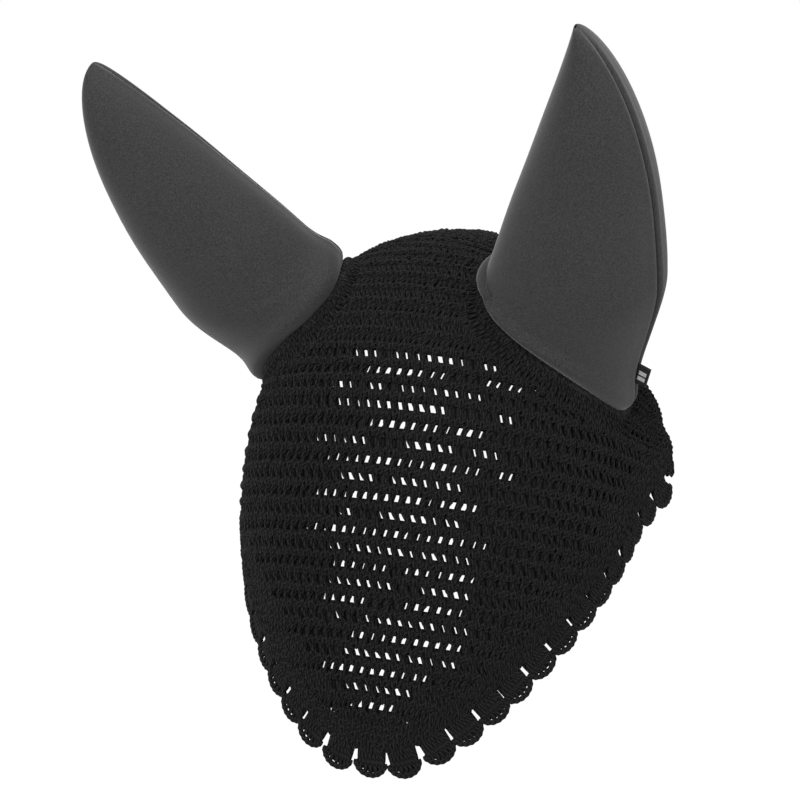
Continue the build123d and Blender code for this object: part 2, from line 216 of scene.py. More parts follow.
class Fabric:
    """A stretch of crochet: lays (row, run along the row, lift) onto curves in space."""

    step = 3.0

    def __init__(self, curves, rows, gathered=False):
        runs = []
        for curve in curves:
            length = np.r_[0, np.cumsum(np.linalg.norm(np.diff(curve, axis=0), axis=1))]
            if gathered and runs:
                length = length * (runs[0][-1] - runs[0][0]) / length[-1]
            runs.append(length - length[len(curve) // 2])
        reach = max(max(-r[0] for r in runs), max(r[-1] for r in runs))
        self.first, self.rows = -reach, np.asarray(rows, float)
        grid = np.arange(-reach, reach + self.step, self.step)
        table = np.empty((len(curves), len(grid), 3))
        for i, (curve, run) in enumerate(zip(curves, runs)):
            for axis in range(3):
                table[i, :, axis] = np.interp(grid, run, curve[:, axis])
            for end, near, sign in ((0, 3, -1), (-1, -4, 1)):
                beyond = np.clip(sign * grid - sign * run[end], 0, None)
                way = curve[end] - curve[near]
                way = way / np.linalg.norm(way)
                table[i] += beyond[:, None] * way
        self.table, self.runs = table, runs
        across = np.gradient(table, axis=1)
        up = np.gradient(table, axis=0)
        normal = np.cross(across, up)
        normal /= np.linalg.norm(normal, axis=2, keepdims=True) + 1e-9
        if (normal * (table - np.array(TRUNK))).sum() < 0:
            normal = -normal
        self.normal = normal

    def lay(self, row, run, lift):
        """Points in space for places on the fabric."""
        i = np.interp(row, self.rows, np.arange(len(self.rows)))
        i0 = np.clip(np.floor(i).astype(int), 0, len(self.rows) - 2)
        fi = (i - i0)[..., None]
        j = (run - self.first) / self.step
        j0 = np.clip(np.floor(j).astype(int), 0, self.table.shape[1] - 2)
        fj = (j - j0)[..., None]

        def mixed(t):
            low = t[i0, j0] * (1 - fj) + t[i0, j0 + 1] * fj
            high = t[i0 + 1, j0] * (1 - fj) + t[i0 + 1, j0 + 1] * fj
            return low * (1 - fi) + high * fi

        return mixed(self.table) + mixed(self.normal) * lift[..., None]


def tube(path, radius, sides=6):
    """Vertices, faces and (along, around) of a closed tube round a path in flat stitch space."""
    path = np.asarray(path, float)
    along = np.gradient(path, axis=0)
    along /= np.linalg.norm(along, axis=1, keepdims=True)
    side = np.cross(along, (0.0, 0.0, 1.0))
    side /= np.linalg.norm(side, axis=1, keepdims=True) + 1e-9
    over = np.cross(side, along)
    angle = np.arange(sides) * 2 * pi / sides
    ring = np.cos(angle)[None, :, None] * side[:, None] + np.sin(angle)[None, :, None] * over[:, None]
    points = (path[:, None] + ring * radius).reshape(-1, 3)
    faces = []
    for i in range(len(path) - 1):
        for k in range(sides):
            n = (k + 1) % sides
            faces.append((i * sides + k, (i + 1) * sides + k, (i + 1) * sides + n, i * sides + n))
    run = np.r_[0, np.cumsum(np.linalg.norm(np.diff(path, axis=0), axis=1))]
    marks = np.stack([np.repeat(run, sides), np.tile(angle / (2 * pi), len(path))], axis=1)
    return points, np.array(faces), marks


def joined(parts):
    """Several meshes as one; each is (points, faces, marks)."""
    points, faces, marks, count = [], [], [], 0
    for p, f, m in parts:
        points.append(p)
        faces.append(f + count)
        marks.append(m)
        count += len(p)
    return np.concatenate(points), np.concatenate(faces), np.concatenate(marks)


def post(height, lean, spread, sides=6):
    """A tall stitch: two strands that twist round each other, leaning along the row."""
    t = np.linspace(-0.10, 1.08, 7)
    strands = []
    for phase in (0.0, pi):
        turn = phase + 1.25 * pi * t
        x = lean * (t - 0.5) + spread * np.cos(turn)
        z = 0.55 * spread * np.sin(turn) + 0.5 * np.sin(pi * np.clip(t, 0, 1))
        strands.append(tube(np.stack([x, t * height, z], axis=1), YARN, sides))
    return joined(strands)


def chain_loop(width, height):
    """The two legs of the V that closes a stitch along the top of its row."""
    t = np.linspace(0.0, 1.0, 5)
    legs = []
    for way in (-1, 1):
        x = way * 0.3 * width + way * 0.75 * width * (t - 0.35)
        y = height + 2.0 - 4.2 * t
        z = 0.9 + 1.0 * np.sin(pi * t)
        legs.append(tube(np.stack([x, y, z], axis=1), YARN * 0.98, 5))
    return joined(legs)


def stitched(fabric, unit, places, height):
    """Copies of a flat stitch laid at (row, run, size) places, each a little uneven."""
    points, faces, marks = unit
    count = len(places)
    uneven = np.random.default_rng(1 + count)
    slant = uneven.normal(0.0, 0.09, (count, 1))
    size = 1.0 + uneven.normal(0.0, 0.07, (count, 1))
    up = points[:, 1][None] + uneven.normal(0.0, 0.28, (count, 1))
    across = points[:, 0][None] * size + slant * (up - height / 2) + uneven.normal(0.0, 0.22, (count, 1))
    lift = points[:, 2][None] * size + uneven.normal(0.0, 0.16, (count, 1))
    rows = places[:, 0][:, None] + up / height * places[:, 2][:, None]
    runs = places[:, 1][:, None] + across
    laid = fabric.lay(rows, runs, lift).reshape(-1, 3)
    shift = (np.arange(count) * len(points))[:, None, None]
    tag = np.tile(marks, (count, 1))
    tag[:, 0] += np.repeat(np.arange(count) * 1.7, len(points))
    return laid, (faces[None] + shift).reshape(-1, 4), tag


def mesh_object(name, parts, material):
    """An object from meshes in millimetres; the marks become its UV map."""
    points, faces, marks = joined(parts)
    mesh = bpy.data.meshes.new(name)
    mesh.vertices.add(len(points))
    mesh.vertices.foreach_set("co", (points * MM).astype(np.float32).ravel())
    mesh.loops.add(faces.size)
    mesh.loops.foreach_set("vertex_index", faces.astype(np.int32).ravel())
    mesh.polygons.add(len(faces))
    mesh.polygons.foreach_set("loop_start", (np.arange(len(faces)) * 4).astype(np.int32))
    mesh.update(calc_edges=True)
    mesh.polygons.foreach_set("use_smooth", np.full(len(faces), True))
    layer = mesh.uv_layers.new(name="UVMap")
    corners = marks[faces.ravel()].reshape(-1, 4, 2)
    wrap = (corners[:, :, 1].max(axis=1) - corners[:, :, 1].min(axis=1)) > 0.5
    corners[:, :, 1] += np.where(wrap[:, None] & (corners[:, :, 1] < 0.5), 1.0, 0.0)
    layer.data.foreach_set("uv", corners.astype(np.float32).ravel())
    mesh.validate()
    mesh.materials.append(material)
    piece = bpy.data.objects.new(name, mesh)
    bpy.context.scene.collection.objects.link(piece)
    return piece


def cotton_yarn():
    """Matt black mercerised cotton, three plies twisted to a 2 mm yarn, with short fuzz; its colour has
    painted shade in the grooves between the plies and painted highlight on their crowns.
    """
    material, shader = new_material("black_cotton_yarn")
    uv = add_node(material, "ShaderNodeUVMap")
    split = add_node(material, "ShaderNodeSeparateXYZ", [(0, uv.outputs[0])])
    turns = add_node(material, "ShaderNodeMath", [(0, split.outputs[0]), (1, 0.28)], operation="MULTIPLY")
    plies = add_node(material, "ShaderNodeMath", [(0, split.outputs[1]), (1, 3.0)], operation="MULTIPLY")
    phase = add_node(material, "ShaderNodeMath",
                     [(0, turns.outputs[0]), (1, plies.outputs[0])], operation="ADD")
    angle = add_node(material, "ShaderNodeMath", [(0, phase.outputs[0]), (1, 2 * pi)], operation="MULTIPLY")
    wave = add_node(material, "ShaderNodeMath", [(0, angle.outputs[0])], operation="SINE")
    place = add_node(material, "ShaderNodeTexCoord")
    fuzz = add_node(material, "ShaderNodeTexNoise",
                    [("Vector", place.outputs["Object"]), ("Scale", 1800.0), ("Detail", 3.0)])
    wear = add_node(material, "ShaderNodeTexNoise", [("Vector", place.outputs["Object"]), ("Scale", 60.0)])
    # The ply wave sets the colour: the yarn's own near black, with painted shade in the grooves between the
    # plies and painted highlight on their crowns.
    ply_groove_shade = add_node(material, "ShaderNodeMapRange",
                   [("Value", wave.outputs[0]), ("From Min", -1.0), ("From Max", 0.6)])
    tone = add_node(material, "ShaderNodeMix",
                    [("Factor", ply_groove_shade.outputs[0]), (6, linear("#040404")), (7, linear("#262626"))],
                    data_type="RGBA")
    hazy = add_node(material, "ShaderNodeMapRange",
                    [("Value", wear.outputs["Fac"]), ("To Min", 0.75), ("To Max", 1.25)])
    worn = add_node(material, "ShaderNodeVectorMath",
                    [(0, tone.outputs[2]), (1, hazy.outputs[0])], operation="MULTIPLY")
    rough = add_node(material, "ShaderNodeMapRange",
                     [("Value", fuzz.outputs["Fac"]), ("To Min", 0.62), ("To Max", 0.85)])
    height = add_node(material, "ShaderNodeMath",
                      [(0, wave.outputs[0]), (1, fuzz.outputs["Fac"])], operation="ADD")
    bump = add_node(material, "ShaderNodeBump",
                    [("Height", height.outputs[0]), ("Strength", 0.55), ("Distance", 0.00025)])
    links = material.node_tree.links
    links.new(worn.outputs[0], shader.inputs["Base Color"])
    links.new(rough.outputs[0], shader.inputs["Roughness"])
    links.new(bump.outputs[0], shader.inputs["Normal"])
    shader.inputs["Sheen Weight"].default_value = 0.04
    shader.inputs["Sheen Roughness"].default_value = 0.5
    shader.inputs["Specular IOR Level"].default_value = 0.12
    return material


yarn_material = cotton_yarn()


OPEN_SPREAD, DENSE_SPREAD = 1.35, 0.95     # how far apart the two strands of a tall stitch stand


def crochet_rows(fabric, last, ends, open_work):
    """All stitches of the rows up to the last; returns its mesh parts."""
    parts = []
    posts = {key: [] for key in ("open_left", "open_right", "dense_left", "dense_right")}
    tops = []
    for row in range(last):
        left, right = ends(row + 0.5)
        way = "left" if row % 2 else "right"
        offset = 0.5 * OPEN_PITCH if row % 2 else 0.0
        places = np.arange(left, right, DENSE_PITCH)
        for x in places:
            tops.append((row, x + 0.5 * DENSE_PITCH, 1.0))
            if not open_work(row, x):
                posts[f"dense_{way}"].append((row, x + 0.5 * DENSE_PITCH, 1.0))
        cells = np.arange(np.floor(left / OPEN_PITCH), np.ceil(right / OPEN_PITCH)) * OPEN_PITCH + offset
        for x in cells:
            if left < x < right and open_work(row, x):
                posts[f"open_{way}"].append((row, x, 1.0))
    for key, places in posts.items():
        if not places:
            continue
        lean = LEAN if key.endswith("left") else -LEAN
        spread = OPEN_SPREAD if key.startswith("open") else DENSE_SPREAD
        parts.append(stitched(fabric, post(ROW, lean, spread), np.array(places), ROW))
    parts.append(stitched(fabric, chain_loop(DENSE_PITCH, ROW), np.array(tops), ROW))
    return parts


HOLE_LOW, HOLE_HIGH = 0.32, 0.68     # a hole lies between these shares of its row
HOLES_RIGHT, HOLES_LEFT = 50.0, 68.0     # how far the open work reaches to either side of the middle


def backing(fabric, last, ends, open_work):
    """Inner face of the crochet as one net: quads behind the stitches, none where a hole is."""
    quads, points, count = [], [], 0
    uneven = np.random.default_rng(7)
    pulled = uneven.uniform(0.0, 1.0, (last, 3))
    for row in range(last):
        left, right = ends(row + 0.5)
        offset = 0.5 * OPEN_PITCH if row % 2 else 0.0
        lean = LEAN if row % 2 else -LEAN
        x = np.floor((left - offset) / OPEN_PITCH) * OPEN_PITCH + offset - OPEN_PITCH / 2
        while x < right:
            wide = float(np.clip(uneven.normal(1.0, 0.35), 0.2, 1.5))
            patch = 0.5 + 0.5 * sin(x / (9.0 + 9.0 * pulled[row, 0]) + 2 * pi * pulled[row, 1])
            away = abs(x - 2.0 - 8.0 * pulled[row, 2]) / (HOLES_RIGHT if x < 0 else HOLES_LEFT)
            loose = uneven.uniform() < (0.35 + 0.75 * patch) * (1.15 - away**2.2)
            far = OPEN_PITCH - wide
            for a, b, hole in ((0.0, wide, True), (wide, far, False), (far, OPEN_PITCH, True)):
                x0, x1 = max(x + a, left), min(x + b, right)
                if x1 <= x0:
                    continue
                open_here = hole and loose and open_work(row, x + OPEN_PITCH / 2)
                for low, high in ((0.0, HOLE_LOW), (HOLE_LOW, HOLE_HIGH), (HOLE_HIGH, 1.0)):
                    if open_here and low == HOLE_LOW:
                        continue
                    for px, py in ((x0, low), (x1, low), (x1, high), (x0, high)):
                        points.append((row + py, px + lean * (py - 0.5), NET_DEPTH))
                    quads.append((count, count + 1, count + 2, count + 3))
                    count += 4
            x += OPEN_PITCH
    points = np.array(points)
    laid = fabric.lay(points[:, 0], points[:, 1], points[:, 2])
    return laid, np.array(quads), points[:, [1, 0]] * (1.0, 0.1)


def select_only(piece):
    bpy.ops.object.select_all(action="DESELECT")
    piece.select_set(True)
    bpy.context.view_layer.objects.active = piece


def welded(piece):
    """Joins the quads of a net at their corners."""
    select_only(piece)
    weld = piece.modifiers.new("weld", "WELD")
    weld.merge_threshold = 0.02 * MM
    bpy.ops.object.modifier_apply(modifier=weld.name)


def area_of(piece):
    return sum(p.area for p in piece.data.polygons)


# Face rows, from the row above the tip up to the brow.
def front_station(z):
    """Front centre (y, z) of a row at this height."""
    return out_to_form(np.array((0.0, WIDEST_Y, z)), np.array((0.0, -1.0, 0.0)))[1:]


FACE_LOW = TIP_Z + (SHELL_HEIGHT + BAND) * SEAM_TAKE_UP
face_rows = int((BROW_Z - FACE_LOW) // ROW)
face_row = (BROW_Z - FACE_LOW + 2.5) / face_rows
turns = np.linspace(-100.0, 100.0, 181)
fine = np.arange(-1.0, face_rows + 1.01, 0.25)
face_curves = []
for r in fine:
    face_curves.append(row_curve(front_station(BROW_Z - (face_rows - r) * face_row), ROW_DIP, turns))
face_fabric = Fabric(face_curves, fine)


def face_ends(row):
    """Runs at which a face row meets the edge band or the rear band."""
    index = int(np.argmin(np.abs(fine - row)))
    curve, run = face_curves[index], face_fabric.runs[index]
    keep = (curve[:, 2] > edge_height(curve, SHELL_HEIGHT + BAND)) & (curve[:, 1] < REAR_Y + 0.5)
    return run[keep].min() - 4.0, run[keep].max() + 4.0


def face_open(row, run):
    left, right = face_ends(row + 0.5)
    return left + 26.0 < run < right - 26.0


# Crown rows, from the brow over the top to the nape; the ear holes interrupt them.
HOLE_CENTRE, HOLE_LONG, HOLE_SHORT = (77.5, 34.0, -66.0), 61.0, 37.0
HOLE_AXIS, HOLE_NORMAL = (0.610, 0.585, -0.537), (0.687, -0.050, 0.726)
COLLAR, RIM_LIFT = 10.0, 4.0


def hole_axes(side):
    long_axis = np.array(HOLE_AXIS) * (side, 1, 1)
    long_axis /= np.linalg.norm(long_axis)
    normal = np.array(HOLE_NORMAL) * (side, 1, 1)
    normal = normal - long_axis * (normal @ long_axis)
    normal /= np.linalg.norm(normal)
    forward = np.cross(normal, long_axis)
    return long_axis, forward * (-1 if forward[1] > 0 else 1), normal


def hole_share(points, side):
    """Under 1 inside the ellipse that the hood leaves open for an ear."""
    long_axis, forward, normal = hole_axes(side)
    d = points - np.array(HOLE_CENTRE) * (side, 1, 1)
    flat = ((d @ long_axis) / (HOLE_LONG + COLLAR)) ** 2 + ((d @ forward) / (HOLE_SHORT + COLLAR)) ** 2
    return np.where(d @ normal > -45.0, flat, 9.0)


def crown_station(share):
    """Front centre and dip of a crown row, from the brow at 0 to the nape at 1."""
    brow = front_station(BROW_Z)
    first = np.arctan2(brow[1] + DOME, REAR_Y - brow[0])
    nape = out_to_form(np.array((0.0, NAPE_Y, -DOME)), np.array((0.0, 0.0, 1.0)))
    last = np.arctan2(nape[2] + DOME, REAR_Y - nape[1])
    a = first + (last - first) * share
    station = out_to_form(np.array((0.0, REAR_Y, -DOME)), np.array((0.0, -cos(a), sin(a))))
    return station[1:], ROW_DIP + (NAPE_DIP - ROW_DIP) * share


shares = np.linspace(-0.05, 1.05, 111)
middle_line = np.array([crown_station(s)[0] for s in shares])
middle_run = np.r_[0, np.cumsum(np.linalg.norm(np.diff(middle_line, axis=0), axis=1))]
middle_run -= np.interp(0.0, shares, middle_run)
crown_rows = int(np.interp(1.0, shares, middle_run) // ROW) + 1
crown_row = np.interp(1.0, shares, middle_run) / crown_rows
crown_fine = np.arange(-0.25, crown_rows + 0.26, 0.25)
crown_curves = []
for r in crown_fine:
    station, dip = crown_station(float(np.interp(r * crown_row, middle_run, shares)))
    crown_curves.append(row_curve(station, dip, turns))
crown_fabric = Fabric(crown_curves, crown_fine)


def crown_ends(row):
    index = int(np.argmin(np.abs(crown_fine - row)))
    curve, run = crown_curves[index], crown_fabric.runs[index]
    keep = curve[:, 1] < REAR_Y + 0.5
    return run[keep].min() - 1.0, run[keep].max() + 1.0


def crown_open(row, run):
    """A few open stitches below the ears, none on the top of the crown."""
    left, right = crown_ends(row + 0.5)
    return row < 3 and left + 18.0 < run < right - 18.0


def without_holes(parts, sizes):
    """Drop whole stitches whose middle lies in an ear hole; sizes are vertices per stitch."""
    kept = []
    for (points, faces, marks), size in zip(parts, sizes):
        groups = points.reshape(-1, size, 3)
        middle = groups.mean(axis=1)
        stay = np.minimum(hole_share(middle, 1), hole_share(middle, -1)) > 0.97
        per = len(faces) // len(groups)
        faces = faces.reshape(-1, per, 4)[stay]
        base = (np.flatnonzero(stay) * size)[:, None, None]
        new = (np.arange(stay.sum()) * size)[:, None, None]
        faces = (faces - base + new).reshape(-1, 4)
        marks = marks.reshape(-1, size, 2)[stay].reshape(-1, 2)
        kept.append((groups[stay].reshape(-1, 3), faces, marks))
    return kept


def unit_sizes(parts):
    """Vertices of one stitch in each part: posts first, the chain loops last."""
    tall = len(post(ROW, 0.0, 1.0)[0])
    return [tall] * (len(parts) - 1) + [len(chain_loop(DENSE_PITCH, ROW)[0])]


def in_pieces(name, parts, count):
    """Split the stitches into several objects, each well under the triangle limit."""
    pieces = []
    points, faces, marks = joined(parts)
    for i, chunk in enumerate(np.array_split(np.arange(len(faces)), count)):
        used, again = np.unique(faces[chunk], return_inverse=True)
        part = (points[used], again.reshape(-1, 4), marks[used])
        piece = mesh_object(f"{name}_{i + 1}", [part], yarn_material)
        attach(piece, "bonnet")
        pieces.append(piece)
    return pieces


def net(name, part, nodes):
    """The inner face of a stretch of crochet, as one welded sheet on the bonnet with its stitches."""
    piece = mesh_object(name, [part], yarn_material)
    welded(piece)
    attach(piece, "bonnet")
    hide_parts(*nodes)
    return piece


face_parts = crochet_rows(face_fabric, face_rows, face_ends, face_open)
face_pieces = in_pieces("face_stitches", face_parts, 4)
face_backing = backing(face_fabric, face_rows, face_ends, face_open)
net("face_net", face_backing, ("face_panel", "left_side_flap", "right_side_flap"))

crown_parts = crochet_rows(crown_fabric, crown_rows, crown_ends, crown_open)
crown_parts = without_holes(crown_parts, unit_sizes(crown_parts))
crown_pieces = in_pieces("crown_stitches", crown_parts, 3)
crown_backing = backing(crown_fabric, crown_rows, crown_ends, crown_open)
crown_backing = without_holes([crown_backing], [4])[0]
net("crown_net", crown_backing, ("crown_panel",))


# Single crochet rounds along the front edge and the rear edge.
def band_line(inside, around):
    """Points on the form this far inside the edge; around is in degrees, 0 at the tip."""
    a = np.radians(around)
    low = np.full(len(around), TIP_Z - 20.0)
    high = np.full(len(around), CORNER_Z + 60.0)
    direction = np.stack([np.sin(a), -np.cos(a), 0 * a], axis=1)
    for _ in range(HALVINGS):
        z = (low + high) / 2
        p = out_to_form(np.stack([0 * z, 0 * z + REAR_Y, z], axis=1), direction)
        above = p[:, 2] > edge_height(p, inside)
        high = np.where(above, z, high)
        low = np.where(above, low, z)
    return p


SC = BAND / 3     # height of one single crochet
band_turns = np.linspace(-90.0, 90.0, 241)
band_rows = np.arange(-0.5, 3.51, 0.5)
band_fabric = Fabric([band_line(SHELL_HEIGHT + r * SC, band_turns) for r in band_rows], band_rows)


def band_ends(row):
    return band_fabric.runs[3][0], band_fabric.runs[3][-1]


def short_rows(fabric, rows, ends, height):
    """Rows of short stitches, each closed by its chain loop."""
    places = []
    for row in range(rows):
        left, right = ends(row)
        for x in np.arange(left, right, DENSE_PITCH):
            places.append((row, x + 0.5 * DENSE_PITCH * (row % 2), 1.0))
    places = np.array(places)
    units = (post(height, 1.3, 0.85, 5), chain_loop(DENSE_PITCH, height))
    return [stitched(fabric, unit, places, height) for unit in units]


band_pieces = in_pieces("front_band_stitches", short_rows(band_fabric, 3, band_ends, SC), 1)


def plain_net(fabric, rows, ends):
    """A closed net behind short rows, in cells of 4 mm."""
    points, quads, count = [], [], 0
    for row in range(rows):
        left, right = ends(row)
        for x in np.arange(left, right, 4.0):
            end = min(x + 4.0, right)
            for px, py in ((x, 0), (end, 0), (end, 1), (x, 1)):
                points.append((row + py, px, NET_DEPTH))
            quads.append((count, count + 1, count + 2, count + 3))
            count += 4
    points = np.array(points)
    laid = fabric.lay(points[:, 0], points[:, 1], points[:, 2])
    return laid, np.array(quads), points[:, [1, 0]] * (1.0, 0.1)


net("front_band_net", plain_net(band_fabric, 3, band_ends), ("front_edge_band",))

# The rear band starts where the last crown row ends and reaches a little past the rear of the form.
REAR_WAVES, WAVE_HEIGHT = 37.0, 1.8
station, dip = crown_station(1.0)
corner = band_line(SHELL_HEIGHT, np.array([90.0]))[0]
first_turn = np.degrees(np.arctan2(corner[2] + DOME, corner[0]))
rear_turns = np.radians(np.linspace(first_turn, 180.0 - first_turn, 161))
rear_way = np.stack([np.cos(rear_turns), 0 * rear_turns, np.sin(rear_turns)], axis=1)
low_y = np.full(len(rear_turns), station[0])
high_y = np.full(len(rear_turns), REAR_Y)
for _ in range(HALVINGS):
    y = (low_y + high_y) / 2
    p = out_to_form(np.stack([0 * y, y, 0 * y - DOME], axis=1), rear_way)
    above = p[:, 2] > station[1] - (y - station[0]) * tan(radians(dip))
    high_y = np.where(above, y, high_y)
    low_y = np.where(above, low_y, y)
rear_rows = np.arange(0, 2.01, 0.5)
rear_curves = []
for r in rear_rows:
    wave = WAVE_HEIGHT * np.sin(rear_turns * REAR_WAVES) * (r / 2)
    row_y = y + (r / 2) * (REAR_Y + REAR_BAND - y) + wave
    rear_curves.append(out_to_form(np.stack([0 * y, row_y, 0 * y - DOME], axis=1), rear_way))
rear_fabric = Fabric(rear_curves, rear_rows)


def rear_ends(row):
    return rear_fabric.runs[0][0], rear_fabric.runs[0][-1]


rear_pieces = in_pieces("rear_band_stitches", short_rows(rear_fabric, 2, rear_ends, REAR_BAND / 2), 1)
net("rear_band_net", plain_net(rear_fabric, 2, rear_ends), ("rear_edge_band",))


# ---------------------------------------------------------------- scallop edging
# Shell stitches: each scallop is a fan of tall stitches worked into one place of the band,
# closed by a thick rim of chain loops.
SHELL_WAIST = 0.42     # the rim of a shell turns round a point this share of the way down
FAN, RIM = 66.0, 82.0     # half angles of the fan of tall stitches and of the rim of loops


def shell_places():
    """Foot, directions along and down, and outward normal of every shell."""
    line = band_line(SHELL_HEIGHT, np.linspace(-90.0, 90.0, 401))
    run = np.r_[0, np.cumsum(np.linalg.norm(np.diff(line, axis=0), axis=1))]
    count = int(run[-1] // SHELL_PITCH)
    margin = (run[-1] - count * SHELL_PITCH) / 2
    for i in range(count):
        j = int(np.searchsorted(run, margin + (i + 0.5) * SHELL_PITCH))
        foot = line[j]
        along = line[min(j + 4, 400)] - line[j - 4]
        along /= np.linalg.norm(along)
        gradient = np.zeros(3)
        for axis in range(3):
            shift = np.zeros(3)
            shift[axis] = 0.4
            gradient[axis] = form(foot + shift) - form(foot - shift)
        out = gradient / np.linalg.norm(gradient)
        down = np.cross(out, along)
        yield foot, along, down * (-1 if down[2] > 0 else 1), out


def scallop(seed):
    """One shell in its own plane: x along the edge, y outwards, z up from the fabric."""
    parts = []
    random = np.random.default_rng(seed)
    half, height = SHELL_PITCH / 2 - 0.2, SHELL_HEIGHT - 1.2
    for i in range(7):
        a = radians(-FAN + FAN / 3 * i)
        across = half * 0.90 * sin(a) / sin(radians(FAN))
        tip = np.array((across, height * (SHELL_WAIST + 0.5 * cos(a)), 0.9))
        root = np.array((0.55 * tip[0], -1.5, 0.0))
        t = np.linspace(0.0, 1.0, 6)[:, None]
        line = root + (tip - root) * t
        side = np.array((cos(a), -sin(a), 0.0))
        for phase in (0.0, pi):
            turn = phase + 1.4 * pi * t + random.uniform(0, 1.0)
            path = line + side * 0.8 * np.cos(turn) + np.array((0, 0, 1.0)) * 0.55 * np.sin(turn)
            parts.append(tube(path, YARN, 6))
    for i in range(8):
        a0, a1 = radians(-RIM + RIM / 4 * i - 4.0), radians(-RIM + RIM / 4 * (i + 1) + 4.0)
        for way in (-1, 1):
            t = np.linspace(0.0, 1.0, 5)
            a = a0 + (a1 - a0) * t
            reach = 0.8 * way * np.sin(pi * t)
            x = (half + reach) * np.sin(a)
            y = height * SHELL_WAIST + (height * 0.56 + reach) * np.cos(a)
            parts.append(tube(np.stack([x, y, 0.9 + 0.6 * np.sin(pi * t)], axis=1), YARN, 6))
    return joined(parts)


def scallop_core():
    """Crossed inner strands of a shell as one thin quilted layer behind the fan."""
    points, faces = [], []
    half, height = SHELL_PITCH / 2 - 0.6, SHELL_HEIGHT - 2.0
    across, up = np.linspace(-1.0, 1.0, 13), np.linspace(0.0, 1.0, 9)
    for v in up:
        low = height * v
        arc = 1.0 if v < SHELL_WAIST else sqrt(max(1 - ((v - SHELL_WAIST) / 0.60) ** 2, 0.02))
        for u in across:
            points.append((half * arc * u, low - 1.0, -0.3 + 0.2 * sin(9 * u) * sin(7 * v)))
    for i in range(8):
        for j in range(12):
            k = i * 13 + j
            faces.append((k, k + 1, k + 14, k + 13))
    points = np.array(points)
    return points, np.array(faces), points[:, :2] * (1.0, 0.1)


for i, (foot, along, down, out) in enumerate(shell_places()):
    points, faces, marks = joined([scallop(i), scallop_core()])
    placed = foot + points[:, :1] * along + points[:, 1:2] * down + points[:, 2:] * out
    if np.dot(np.cross(along, down), out) < 0:
        faces = faces[:, ::-1]
    piece = mesh_object(f"scallop_{i + 1:02d}", [(placed, faces, marks)], yarn_material)
    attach(piece, "bonnet")
    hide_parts(f"edge_shell_{i + 1:02d}")


# ---------------------------------------------------------------- ear covers
# Each ear is a stuffed-looking tube of brushed softshell, sewn from a front and a rear panel.
# The front panel bulges over the crochet at the base; the seams are sharp valleys.
EAR_LENGTH, OUTER_HALF, INNER_HALF, EAR_DEPTH = 216.0, 68.3, 53.7, 41.0
OUTER_TAPER, INNER_TAPER, DEPTH_TAPER = (2.73, 0.73), (1.165, 1.19), (3.0, 0.5)
EAR_WALL, OUTER_SEAM, INNER_SEAM, BASE_BLEND, TIP_END = 3.0, 20.0, 214.0, 0.30, 0.998
RIM_STAND = 1.8     # the rim stands on the stitching by this much above the collar
OUT_LEAN = {"right": 7.2, "left": 29.0}
FORWARD_LEAN = {"right": 22.8, "left": 29.8}
FACING = {"right": 7.7, "left": 13.8}
OUT_BOW = {"right": 9.7, "left": 36.2}
FORWARD_BOW = {"right": -1.6, "left": -33.6}
SIDES = {"right": 1, "left": -1}


def softshell():
    """Brushed charcoal softshell: a fine short nap with lint and paler grazing edges."""
    material, shader = new_material("brushed_softshell")
    place = add_node(material, "ShaderNodeTexCoord")
    nap = add_node(material, "ShaderNodeTexNoise",
                   [("Vector", place.outputs["Object"]), ("Scale", 1100.0),
                    ("Detail", 2.0), ("Roughness", 0.7)])
    cloud = add_node(material, "ShaderNodeTexNoise",
                     [("Vector", place.outputs["Object"]), ("Scale", 22.0), ("Detail", 3.0)])
    lint = add_node(material, "ShaderNodeTexVoronoi",
                    [("Vector", place.outputs["Object"]), ("Scale", 260.0)], feature="F1")
    grain = add_node(material, "ShaderNodeMapRange",
                     [("Value", nap.outputs["Fac"]), ("From Min", 0.3), ("From Max", 0.7)])
    tone = add_node(material, "ShaderNodeMix",
                    [("Factor", grain.outputs[0]), (6, linear("#2B2B2B")), (7, linear("#494949"))],
                    data_type="RGBA")
    haze = add_node(material, "ShaderNodeMapRange",
                    [("Value", cloud.outputs["Fac"]), ("To Min", 0.88), ("To Max", 1.12)])
    shade = add_node(material, "ShaderNodeVectorMath",
                     [(0, tone.outputs[2]), (1, haze.outputs[0])], operation="MULTIPLY")
    speck = add_node(material, "ShaderNodeMath",
                     [(0, lint.outputs["Distance"]), (1, 0.035)], operation="LESS_THAN")
    rare = add_node(material, "ShaderNodeSeparateColor", [(0, lint.outputs["Color"])])
    some = add_node(material, "ShaderNodeMath", [(0, rare.outputs[0]), (1, 0.03)], operation="LESS_THAN")
    spot = add_node(material, "ShaderNodeMath",
                    [(0, speck.outputs[0]), (1, some.outputs[0])], operation="MULTIPLY")
    dusty = add_node(material, "ShaderNodeMix",
                     [("Factor", spot.outputs[0]), (6, shade.outputs[0]), (7, linear("#B8B8B8"))],
                     data_type="RGBA")
    rough = add_node(material, "ShaderNodeMapRange",
                     [("Value", nap.outputs["Fac"]), ("To Min", 0.80), ("To Max", 0.98)])
    bump = add_node(material, "ShaderNodeBump",
                    [("Height", nap.outputs["Fac"]), ("Strength", 0.35), ("Distance", 0.0003)])
    links = material.node_tree.links
    links.new(dusty.outputs[2], shader.inputs["Base Color"])
    links.new(rough.outputs[0], shader.inputs["Roughness"])
    links.new(bump.outputs[0], shader.inputs["Normal"])
    shader.inputs["Sheen Weight"].default_value = 0.35
    shader.inputs["Sheen Roughness"].default_value = 0.45
    shader.inputs["Specular IOR Level"].default_value = 0.2
    return material


softshell_material = softshell()


